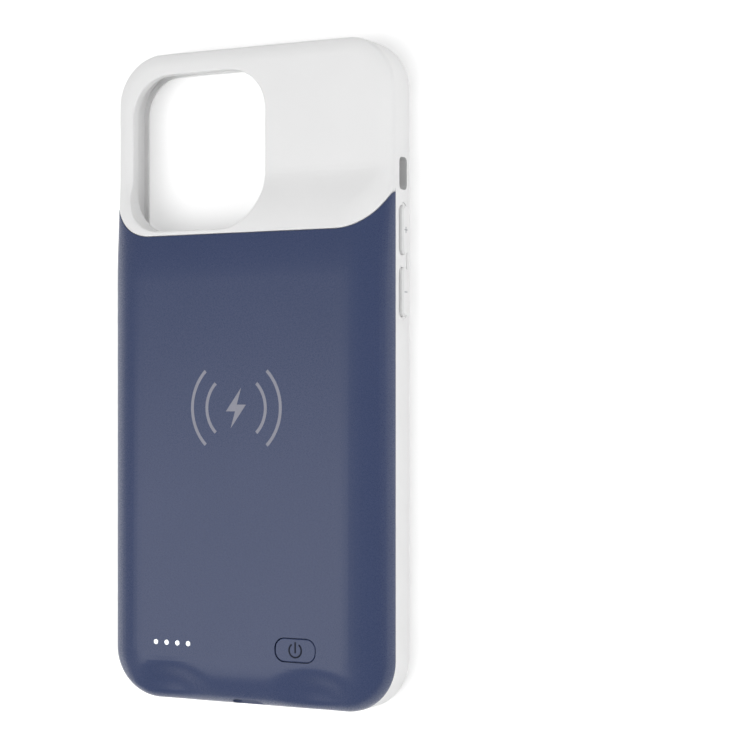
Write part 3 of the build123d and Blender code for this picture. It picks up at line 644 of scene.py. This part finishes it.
@dataclass
class BackForm:
    """Softer moulded form of the back: dished scoops without a rim, and a roll down to the seam."""

    corner: float = 13.2 * MM
    tight_share: float = 0.7
    scoop_x: float = 21.5 * MM
    scoop_width: float = 14.0 * MM
    scoop_length: float = 8.3 * MM
    scoop_way: float = 8.6 * MM
    scoop_depth: float = 1.7 * MM
    roll_start: float = 24.0 * MM
    seam_y: float = 35.96 * MM
    roll_end: float = 52.0 * MM
    roll_slope: float = 0.2
    pitch: float = 1.5 * MM
    touch: float = 0.01 * MM
    facing_least: float = 0.5
    low: Vector = field(init=False)
    high: Vector = field(init=False)
    rise: float = field(init=False)
    tight: float = field(init=False)
    broad: float = field(init=False)
    turn: float = field(init=False)
    end_y: float = field(init=False)

    def __post_init__(self) -> None:
        """Take the cover's size and work out the two tangent arcs of its shoulder."""
        self.low, self.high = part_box("battery_cover")
        self.rise = self.high.z - self.low.z
        self.tight = self.tight_share * self.rise
        span = self.corner * (self.corner - 2 * self.tight) + self.rise * self.rise
        self.broad = span / (2 * (self.rise - self.tight))
        self.turn = math.atan2(self.broad - self.rise, self.corner - self.tight)
        self.end_y = self.low.y + self.corner

    def shoulder(self, spot: Vector) -> tuple[Vector, Vector, float]:
        """Nearest place on the plain shoulder of the plug end.

        Args:
            spot: A place on the cover.

        Returns:
            The place on the shoulder, its outward direction and its way down from the flat back.
        """
        inner_x = self.high.x - self.corner
        axis = Vector((max(-inner_x, min(inner_x, spot.x)), self.end_y, self.low.z))
        away = Vector((spot.x - axis.x, spot.y - axis.y, 0.0))
        hub = Vector((0.0, self.rise - self.broad))
        radius = self.broad
        angle = math.atan2(spot.z - axis.z - hub.y, away.length)
        way = self.broad * (math.pi / 2 - angle)
        if angle < self.turn:
            hub = Vector((self.corner - self.tight, 0.0))
            radius = self.tight
            angle = math.atan2(spot.z - axis.z, away.length - hub.x)
            way = self.broad * (math.pi / 2 - self.turn) + self.tight * (self.turn - angle)
        away.normalize()
        up = Vector((0.0, 0.0, 1.0))
        facing = away * math.cos(angle) + up * math.sin(angle)
        return axis + away * hub.x + up * hub.y + facing * radius, facing, way

    def dent(self, x: float, way: float) -> float:
        """Depth of the scoops at one place of the shoulder.

        Args:
            x: Place across the case.
            way: Way down from the flat back.

        Returns:
            The depth, which fades to nothing without a rim.
        """
        across = (abs(x) - self.scoop_x) / self.scoop_width
        along = (way - self.scoop_way) / self.scoop_length
        share = min(math.hypot(across, along), 1.0)
        return self.scoop_depth * math.cos(share * math.pi / 2) ** 2

    def sink(self, y: float) -> float:
        """Depth by which the back lies below its flat.

        Args:
            y: Place along the case.

        Returns:
            The depth, which grows to the seam and fades out down the ramp.
        """
        if not self.roll_start < y < self.roll_end:
            return 0.0
        run = self.seam_y - self.roll_start
        if y < self.seam_y:
            return self.roll_slope * (y - self.roll_start) ** 2 / (2 * run)
        rest = self.roll_end - self.seam_y
        share = (y - self.seam_y) / rest
        return self.roll_slope * (run / 2 * (1 + 2 * share) + rest * share) * (1 - share) ** 2

    def cut(self, mesh: bmesh.types.BMesh, normal: Vector, span: Pair, wanted: Choice) -> None:
        """Cut chosen faces above the parting plane into even strips.

        Args:
            mesh: Edit mesh of the piece.
            normal: Axis that the strips follow each other along.
            span: Places of the first and last cut on that axis.
            wanted: Tells whether a face is to be cut.
        """
        for step in range(round((span[1] - span[0]) / self.pitch) + 1):
            middle = normal * (span[0] + step * self.pitch)
            faces = [face for face in mesh.faces if wanted(face) and self.crosses(face, normal, middle)]
            edges = dict.fromkeys(edge for face in faces for edge in face.edges)
            verts = dict.fromkeys(vert for face in faces for vert in face.verts)
            parts = [*verts, *edges, *faces]
            bmesh.ops.bisect_plane(mesh, geom=parts, dist=self.touch, plane_co=middle, plane_no=normal)
        bmesh.ops.triangulate(mesh, faces=[face for face in mesh.faces if len(face.verts) > QUAD])
        bmesh.ops.dissolve_degenerate(mesh, dist=WELD, edges=mesh.edges)
        mesh.normal_update()

    def crosses(self, face: bmesh.types.BMFace, normal: Vector, middle: Vector) -> bool:
        """Tell whether a cutting plane parts a face clear of its corners."""
        heights = [normal.dot(vert.co - middle) for vert in face.verts]
        return min(heights) < -self.touch and max(heights) > self.touch

    def raised(self, face: bmesh.types.BMFace) -> bool:
        """Tell whether a face lies above the parting plane."""
        return face.calc_center_bounds().z > self.low.z + self.touch

    def outward(self, face: bmesh.types.BMFace) -> bool:
        """Tell whether a face belongs to the outer skin of the plug end.

        Args:
            face: The face.

        Returns:
            True for such a face.
        """
        middle = face.calc_center_bounds()
        if not self.raised(face) or middle.y > self.end_y:
            return False
        return face.normal.dot(self.shoulder(middle)[1]) > self.facing_least

    def soften(self, mesh: bmesh.types.BMesh) -> None:
        """Lay the skin of the plug end on the plain shoulder with its dents.

        Args:
            mesh: Edit mesh of the cover.
        """
        near = self.scoop_x - self.scoop_width
        far = self.high.x - self.pitch
        mesh.normal_update()
        for span in ((-far, -near), (near, far)):
            self.cut(mesh, Vector((1.0, 0.0, 0.0)), span, self.outward)
        skin = dict.fromkeys(vert for face in mesh.faces if self.outward(face) for vert in face.verts)
        for vert in skin:
            if vert.co.y < self.end_y - self.touch and vert.co.z > self.low.z + self.touch:
                spot, facing, way = self.shoulder(vert.co)
                vert.co = spot - facing * self.dent(vert.co.x, way)

    def bend(self, mesh: bmesh.types.BMesh) -> None:
        """Roll the back down to the seam and blend it into the ramp.

        Args:
            mesh: Edit mesh of the cover or the frame.
        """
        self.cut(mesh, Vector((0.0, 1.0, 0.0)), (self.roll_start, self.roll_end), self.raised)
        for vert in mesh.verts:
            height = max(0.0, vert.co.z - self.low.z)
            vert.co.z -= self.sink(vert.co.y) * height / self.rise


@dataclass
class Shells:
    """The two outer mouldings, shaded as continuous surfaces."""

    white: Finish = MouldedFinish(
        "white_elastomer",
        colour=(0.905, 0.905, 0.905, 1.0),
        shade=(0.885, 0.885, 0.885, 1.0),
        roughness=0.46,
        pebble_mm=0.16,
        pebble_depth_mm=0.0014,
    )
    blue: Finish = MouldedFinish(
        "soft_touch_blue",
        colour=(0.044, 0.063, 0.143, 1.0),
        shade=(0.041, 0.060, 0.138, 1.0),
        roughness=0.28,
        pebble_mm=0.14,
        pebble_depth_mm=0.0011,
    )

    def build(self) -> bpy.types.Material:
        """Make both shells.

        Returns:
            The cover's finish, which the button shares.
        """
        blue = self.blue.build()
        form = BackForm()
        place(smoothed("bumper_frame", [form.bend]), Body.CASE, self.white.build())
        place(smoothed("battery_cover", [form.bend, form.soften]), Body.CASE, blue)
        return blue


@dataclass
class RearSign:
    """Wireless charging sign on the back: a bolt between two pairs of arcs."""

    centre: Pair = (-0.3 * MM, -8.4 * MM)
    radii: Pair = (8.65 * MM, 13.0 * MM)
    half_sweep_deg: float = 46.0
    stroke: float = 0.85 * MM
    depth: float = 0.05 * MM
    proud: float = 0.03 * MM
    bolt_mm: tuple[Pair, ...] = (
        (1.55, 5.15), (-2.96, -0.85), (-0.25, -0.85), (-1.55, -5.15), (2.96, 0.85), (0.25, 0.85)
    )
    ink: Finish = InkFinish("sign_ink", (0.312, 0.314, 0.374, 1.0), (0.285, 0.287, 0.342, 1.0))

    def make_bolt(self) -> bpy.types.Object:
        """Six-cornered flash, raised to the print's depth.

        Returns:
            The bolt, at the origin.
        """
        deselect()
        bpy.ops.mesh.primitive_circle_add(vertices=len(self.bolt_mm), radius=1.0, fill_type="NGON")
        piece = bpy.context.object
        with editing(piece) as mesh:
            mesh.verts.ensure_lookup_table()
            for vert, (x, y) in zip(mesh.verts, self.bolt_mm):
                vert.co = (x * MM, y * MM, -self.depth / 2)
            bmesh.update_edit_mesh(piece.data)
            bpy.ops.mesh.select_all(action="SELECT")
            bpy.ops.mesh.extrude_region_move(TRANSFORM_OT_translate={"value": (0, 0, self.depth)})
            bpy.ops.mesh.select_all(action="SELECT")
            bpy.ops.mesh.quads_convert_to_tris()
            bpy.ops.mesh.normals_make_consistent(inside=False)
        return piece

    def build(self) -> None:
        """Make the sign and lay it on the back."""
        parts = [self.make_bolt()]
        for radius in self.radii:
            for middle in (0.0, 180.0):
                start = middle - self.half_sweep_deg
                parts.append(arc(radius, self.stroke, self.depth, start, 2 * self.half_sweep_deg))
        sign = joined(parts, "charging_sign")
        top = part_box("battery_cover")[1].z + self.proud - self.depth / 2
        settle(sign, Matrix.Translation((*self.centre, top)))
        place(sign, Body.CASE, self.ink.build())


@dataclass
class BackButton:
    """Press button of the back with its power sign."""

    radius: float = 1.75 * MM
    stroke: float = 0.42 * MM
    depth: float = 0.05 * MM
    proud: float = 0.03 * MM
    gap_deg: float = 70.0
    stem_share: float = 1.6
    stem_rise: float = 0.4
    ink: Finish = InkFinish(
        "button_ink", (0.010, 0.013, 0.024, 1.0), (0.014, 0.017, 0.030, 1.0), specular=0.08
    )

    def build(self, blue: bpy.types.Material) -> None:
        """Dress the button and lay its sign on it.

        Args:
            blue: Finish of the cover, which the button shares.
        """
        cap = smoothed("power_button")
        place(cap, Body.BACK_BUTTON, blue)
        low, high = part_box("power_button")
        ring = arc(self.radius, self.stroke, self.depth, 90.0 + self.gap_deg / 2, 360.0 - self.gap_deg)
        stem = bar(self.stem_share * self.radius, self.stroke, self.depth)
        lift = Matrix.Translation((0, self.stem_rise * self.radius, 0))
        settle(stem, lift @ Matrix.Rotation(math.pi / 2, 4, "Z"))
        sign = joined([ring, stem], "power_sign")
        middle = (low + high) / 2
        settle(sign, Matrix.Translation((middle.x, middle.y, high.z + self.proud - self.depth / 2)))
        place(sign, Body.BACK_BUTTON, self.ink.build())


@dataclass
class SideKeys:
    """Three side keys, two of them with a raised mark."""

    mark_length: float = 1.5 * MM
    stroke: float = 0.32 * MM
    depth: float = 0.08 * MM
    proud: float = 0.04 * MM
    finish: Finish = MouldedFinish(
        "key_white",
        colour=(0.89, 0.89, 0.89, 1.0),
        shade=(0.87, 0.87, 0.87, 1.0),
        roughness=0.4,
        pebble_depth_mm=0.002,
    )
    mark_finish: Finish = InkFinish("key_mark", (0.55, 0.56, 0.58, 1.0), (0.5, 0.51, 0.53, 1.0))

    def mark(self, node: str, name: str, crossed: bool) -> bpy.types.Object:
        """Raised plus or minus on a key's outer face.

        Args:
            node: The key's CAD node.
            name: Name of the mark.
            crossed: True for a plus.

        Returns:
            The mark, in its place.
        """
        strokes = [bar(self.mark_length, self.stroke, self.depth)]
        if crossed:
            strokes.append(bar(self.mark_length, self.stroke, self.depth))
            settle(strokes[1], Matrix.Rotation(math.pi / 2, 4, "Z"))
        piece = joined(strokes, name)
        low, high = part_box(node)
        middle = (low + high) / 2
        face = Matrix.Translation((high.x + self.proud - self.depth / 2, middle.y, middle.z))
        settle(piece, face @ Matrix.Rotation(math.pi / 2, 4, "Y"))
        return piece

    def build(self) -> None:
        """Dress the keys and set their marks."""
        white = self.finish.build()
        grey = self.mark_finish.build()
        place(smoothed("volume_up_key"), Body.VOLUME_UP, white)
        place(smoothed("volume_down_key"), Body.VOLUME_DOWN, white)
        place(smoothed("side_key"), Body.SIDE_BUTTON, white)
        place(self.mark("volume_up_key", "volume_up_mark", True), Body.VOLUME_UP, grey)
        place(self.mark("volume_down_key", "volume_down_mark", False), Body.VOLUME_DOWN, grey)


@dataclass
class ChargeLights:
    """Four charge lights: a domed lens over each pin of the light guide."""

    count: int = 4
    pitch: float = 3.27 * MM
    radius: float = 0.55 * MM
    depth: float = 0.22 * MM
    proud: float = 0.07 * MM
    glow: Colour = (0.86, 0.92, 1.0, 1.0)
    rim: Colour = (0.8, 0.83, 0.88, 1.0)
    strength: float = 1.6
    glow_share: float = 1.6
    sides: int = 24
    dome_share: float = 0.6
    dome_steps: int = 4
    smooth_deg: float = 35.0

    def lens(self, index: int, x: float, y: float, top: float) -> bpy.types.Object:
        """One domed lens.

        Args:
            index: Number of the light, from the outer edge.
            x: Place across the case.
            y: Place along the case.
            top: Level of the lens's crown.

        Returns:
            The lens, in its place.
        """
        deselect()
        bpy.ops.mesh.primitive_cylinder_add(vertices=self.sides, radius=self.radius, depth=self.depth)
        piece = bpy.context.object
        with editing(piece) as mesh:
            for edge in mesh.edges:
                edge.select_set(all(vert.co.z > 0 for vert in edge.verts))
            bmesh.update_edit_mesh(piece.data)
            bpy.ops.mesh.bevel(offset=self.dome_share * self.depth, segments=self.dome_steps)
        piece.name = f"charge_light_{index + 1}"
        settle(piece, Matrix.Translation((x, y, top - self.depth / 2)))
        activate(piece)
        bpy.ops.object.shade_smooth_by_angle(angle=math.radians(self.smooth_deg))
        return piece

    def build(self) -> None:
        """Make the lenses."""
        low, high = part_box("light_guide")
        middle = (low + high) / 2
        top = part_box("battery_cover")[1].z + self.proud
        for index in range(self.count):
            x = middle.x + self.pitch * (index - (self.count - 1) / 2)
            lens = self.lens(index, x, middle.y, top)
            finish = LightFinish(
                f"light_glow_{index + 1}",
                colour=self.glow,
                rim=self.rim,
                strength=self.strength,
                centre=(x, middle.y, top),
                radius_mm=self.glow_share * self.radius / MM,
            )
            place(lens, Body.CASE, finish.build())


@dataclass
class SocketContacts:
    """Gold strips on both faces of the charging socket's tongue."""

    count: int = 12
    width: float = 0.28 * MM
    length: float = 3.4 * MM
    depth: float = 0.06 * MM
    margin: float = 0.4 * MM
    gold: Finish = MetalFinish("socket_gold", (0.83, 0.62, 0.28, 1.0), (0.74, 0.54, 0.23, 1.0), 0.28)

    def build(self) -> None:
        """Make the strips in one piece."""
        low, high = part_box("socket_tongue")
        pitch = (high.x - low.x - 2 * self.margin) / (self.count - 1)
        strips = []
        for level in (low.z, high.z):
            for index in range(self.count):
                strip = bar(self.length, self.width, self.depth)
                x = low.x + self.margin + pitch * index
                y = low.y + self.margin + self.length / 2
                settle(strip, Matrix.Translation((x, y, level)) @ Matrix.Rotation(math.pi / 2, 4, "Z"))
                strips.append(strip)
        place(joined(strips, "socket_contacts"), Body.CASE, self.gold.build())


@dataclass
class InnerPieces:
    """CAD nodes that keep their own solids and only take a finish."""

    lining: Finish = MouldedFinish(
        "lining_grey",
        colour=(0.23, 0.235, 0.25, 1.0),
        shade=(0.19, 0.195, 0.21, 1.0),
        roughness=0.75,
        pebble_mm=0.18,
        pebble_depth_mm=0.05,
        cloud_mm=4.0,
        specular=0.25,
        sheen=0.35,
    )
    dark: Finish = MouldedFinish(
        "moulded_dark",
        colour=(0.028, 0.029, 0.032, 1.0),
        shade=(0.02, 0.021, 0.023, 1.0),
        roughness=0.45,
    )
    board: Finish = BoardFinish("solder_mask", (0.012, 0.085, 0.045, 1.0), (0.02, 0.13, 0.07, 1.0))
    nickel: Finish = MetalFinish("nickel_strip", (0.66, 0.65, 0.6, 1.0), (0.56, 0.55, 0.5, 1.0), 0.34)
    steel: Finish = MetalFinish("stamped_steel", (0.6, 0.6, 0.61, 1.0), (0.5, 0.5, 0.51, 1.0), 0.3)
    plug_steel: Finish = MetalFinish("machined_steel", (0.7, 0.7, 0.71, 1.0), (0.62, 0.62, 0.63, 1.0), 0.24)
    gold: Finish = MetalFinish("plug_gold", (0.86, 0.66, 0.32, 1.0), (0.78, 0.58, 0.26, 1.0), 0.25)
    ferrite: Finish = MouldedFinish(
        "sintered_ferrite",
        colour=(0.07, 0.07, 0.072, 1.0),
        shade=(0.05, 0.05, 0.052, 1.0),
        roughness=0.6,
        pebble_mm=0.1,
        pebble_depth_mm=0.02,
    )
    copper: Finish = MetalFinish("lead_copper", (0.72, 0.38, 0.2, 1.0), (0.62, 0.31, 0.15, 1.0), 0.32)
    clear: Finish = MouldedFinish(
        "clear_guide",
        colour=(0.8, 0.82, 0.85, 1.0),
        shade=(0.74, 0.76, 0.8, 1.0),
        roughness=0.2,
        pebble_mm=0.5,
        pebble_depth_mm=0.002,
        cloud_mm=3.0,
    )
    chip: Finish = MouldedFinish(
        "light_chip",
        colour=(0.85, 0.8, 0.5, 1.0),
        shade=(0.75, 0.7, 0.42, 1.0),
        roughness=0.35,
        pebble_mm=0.3,
        pebble_depth_mm=0.004,
        cloud_mm=0.6,
    )
    # The foil's second colour is painted shade for the dips of its crinkles.
    foil: Finish = FoilFinish("pouch_foil", (0.72, 0.73, 0.74, 1.0), (0.62, 0.63, 0.64, 1.0))
    film: Finish = MouldedFinish(
        "adhesive_film",
        colour=(0.62, 0.6, 0.52, 1.0),
        shade=(0.55, 0.53, 0.46, 1.0),
        roughness=0.3,
        pebble_mm=1.2,
        pebble_depth_mm=0.01,
        cloud_mm=5.0,
    )
    ceramic: Finish = MouldedFinish(
        "ceramic_tan",
        colour=(0.3, 0.2, 0.11, 1.0),
        shade=(0.24, 0.16, 0.085, 1.0),
        roughness=0.4,
        pebble_mm=0.2,
        pebble_depth_mm=0.006,
        cloud_mm=0.8,
    )
    amber: Finish = MouldedFinish(
        "polyimide",
        colour=(0.42, 0.18, 0.03, 1.0),
        shade=(0.36, 0.15, 0.025, 1.0),
        roughness=0.25,
        pebble_mm=0.8,
        pebble_depth_mm=0.006,
        cloud_mm=2.0,
    )
    # The darker wire colour is painted shade for the grooves between the coil's turns.
    wire: Colour = (0.74, 0.4, 0.21, 1.0)
    wire_shade: Colour = (0.45, 0.22, 0.1, 1.0)

    def winding(self) -> Finish:
        """Finish of the coil, whose turns run round its middle."""
        low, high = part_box("charge_coil")
        return WindingFinish("coil_winding", self.wire, self.wire_shade, tuple((low + high) / 2))

    def groups(self) -> dict[Finish, tuple[str, ...]]:
        """Nodes that share a finish.

        Returns:
            The nodes of each finish.
        """
        return {
            self.lining: ("inner_tray",),
            self.dark: ("plug_holder", "socket_tongue", "control_chip", "power_switch", "switch_plunger"),
            self.board: ("main_board", "protection_board", "plug_board"),
            self.nickel: ("cell_tabs", "cell_leads"),
            self.steel: ("board_screws", "charge_socket"),
            self.plug_steel: ("phone_plug",),
            self.gold: ("plug_contacts",),
            self.ferrite: ("coil_ferrite", "power_inductor"),
            self.copper: ("coil_leads",),
            self.winding(): ("charge_coil",),
            self.clear: ("light_guide",),
            self.chip: ("status_lights",),
            self.foil: ("battery_cell",),
            self.film: ("cell_adhesive",),
            self.ceramic: ("board_capacitors",),
            self.amber: ("plug_flex",),
        }

    def build(self) -> None:
        """Make each finish once and dress its nodes."""
        for finish, nodes in self.groups().items():
            material = finish.build()
            for node in nodes:
                dress(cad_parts[node], material)
                LOG.info("%s takes %s", node, finish.name)


@dataclass(frozen=True)
class Softbox:
    """Rectangular area lamp aimed at a place."""

    name: str
    at: Point
    aim: Point
    size: Pair
    power: float
    mirrored: bool = True

    def build(self) -> None:
        """Add the lamp, which shows in reflections only where it is mirrored."""
        lamp = bpy.data.lights.new(self.name, "AREA")
        lamp.shape = "RECTANGLE"
        lamp.size, lamp.size_y = self.size
        lamp.energy = self.power
        light = bpy.data.objects.new(self.name, lamp)
        light.location = self.at
        light.visible_glossy = self.mirrored
        light.rotation_euler = (Vector(self.aim) - Vector(self.at)).to_track_quat("-Z", "Y").to_euler()
        bpy.context.scene.collection.objects.link(light)


@dataclass
class Studio:
    """White floor, soft lamps and the camera."""

    camera_at: Point = (0.2735, -0.0071, 0.4586)
    camera_yaw_deg: float = 27.93
    lens_mm: float = 98.7
    sensor_mm: float = 36.0
    shift_y: float = 0.0371
    clip_start: float = 0.01
    floor_z: float = -0.0002
    floor_half: float = 6.0
    floor_colour: Colour = (0.88, 0.88, 0.88, 1.0)
    floor_lift: float = 0.38
    horizon: Pair = (0.06, 0.16)
    horizon_strength: float = 0.75
    sky_strength: float = 0.32
    sky_colour: Colour = (1.0, 1.0, 1.0, 1.0)
    lamps: tuple[Softbox, ...] = (
        Softbox(
            "left_softbox", at=(-0.51, -0.40, 0.88), aim=(0.0, -0.40, 0.01), size=(0.86, 0.95), power=3.1
        ),
        Softbox(
            "top_fill",
            at=(-0.25, -0.16, 1.02),
            aim=(0.0, 0.0, 0.01),
            size=(0.8, 0.8),
            power=4.7,
            mirrored=False,
        ),
        Softbox(
            "right_fill",
            at=(0.95, 0.1, 0.07),
            aim=(0.04, 0.0, 0.01),
            size=(0.6, 1.2),
            power=6.0,
            mirrored=False,
        ),
    )

    def build(self) -> None:
        """Set the stage."""
        self.build_floor()
        self.build_world()
        for lamp in self.lamps:
            lamp.build()
        self.build_camera()

    @staticmethod
    def seen_directly(tree: bpy.types.NodeTree) -> Socket:
        """Factor that is 1 for rays that show a surface and 0 for rays that carry its light.

        Args:
            tree: Node tree of the floor or the world.

        Returns:
            Output that holds for camera, mirrored and transmitted rays.
        """
        path = tree.nodes.new("ShaderNodeLightPath")
        factor = path.outputs["Is Camera Ray"]
        for ray in ("Is Glossy Ray", "Is Transmission Ray"):
            either = tree.nodes.new("ShaderNodeMath")
            either.operation = "MAXIMUM"
            tree.links.new(factor, either.inputs[0])
            tree.links.new(path.outputs[ray], either.inputs[1])
            factor = either.outputs["Value"]
        return factor

    def build_floor(self) -> None:
        """White floor that keeps the shadow: its own shade, lifted to white where it is seen."""
        deselect()
        bpy.ops.mesh.primitive_plane_add(size=2 * self.floor_half, location=(0, 0, self.floor_z))
        floor = bpy.context.object
        floor.name = "floor"
        material = bpy.data.materials.new("floor_white")
        material.use_nodes = True
        tree = material.node_tree
        tree.nodes.clear()
        diffuse = tree.nodes.new("ShaderNodeBsdfDiffuse")
        diffuse.inputs["Color"].default_value = self.floor_colour
        lift = tree.nodes.new("ShaderNodeEmission")
        share = tree.nodes.new("ShaderNodeMath")
        share.operation = "MULTIPLY"
        share.inputs[1].default_value = self.floor_lift
        tree.links.new(self.seen_directly(tree), share.inputs[0])
        tree.links.new(share.outputs["Value"], lift.inputs["Strength"])
        both = tree.nodes.new("ShaderNodeAddShader")
        tree.links.new(diffuse.outputs["BSDF"], both.inputs[0])
        tree.links.new(lift.outputs["Emission"], both.inputs[1])
        output = tree.nodes.new("ShaderNodeOutputMaterial")
        tree.links.new(both.outputs["Shader"], output.inputs["Surface"])
        dress(floor, material)

    def build_world(self) -> None:
        """Sky light that is pale at the horizon and dimmer overhead."""
        world = bpy.data.worlds.new("studio")
        bpy.context.scene.world = world
        world.use_nodes = True
        tree = world.node_tree
        tree.nodes.clear()
        direction = tree.nodes.new("ShaderNodeTexCoord")
        split = tree.nodes.new("ShaderNodeSeparateXYZ")
        tree.links.new(direction.outputs["Generated"], split.inputs["Vector"])
        fall = tree.nodes.new("ShaderNodeMapRange")
        fall.interpolation_type = "SMOOTHSTEP"
        fall.inputs["From Min"].default_value, fall.inputs["From Max"].default_value = self.horizon
        fall.inputs["To Min"].default_value = self.horizon_strength
        fall.inputs["To Max"].default_value = self.sky_strength
        tree.links.new(split.outputs["Z"], fall.inputs["Value"])
        light = tree.nodes.new("ShaderNodeBackground")
        tree.links.new(fall.outputs["Result"], light.inputs["Strength"])
        light.inputs["Color"].default_value = self.sky_colour
        output = tree.nodes.new("ShaderNodeOutputWorld")
        tree.links.new(light.outputs["Background"], output.inputs["Surface"])

    def build_camera(self) -> None:
        """Camera above the back, turned towards the keys' side."""
        data = bpy.data.cameras.new("camera")
        data.lens = self.lens_mm
        data.sensor_width = self.sensor_mm
        data.shift_y = self.shift_y
        data.clip_start = self.clip_start
        camera = bpy.data.objects.new("camera", data)
        camera.location = self.camera_at
        camera.rotation_euler = (0.0, math.radians(self.camera_yaw_deg), 0.0)
        bpy.context.scene.collection.objects.link(camera)
        bpy.context.scene.camera = camera
        bpy.context.scene.view_settings.view_transform = "Standard"


def main() -> None:
    """Build and dress the case, piece by piece."""
    logging.basicConfig(level=logging.INFO, format="%(message)s")
    blue = Shells().build()
    RearSign().build()
    BackButton().build(blue)
    SideKeys().build()
    ChargeLights().build()
    SocketContacts().build()
    InnerPieces().build()
    Studio().build()


if __name__ == "__main__":
    main()
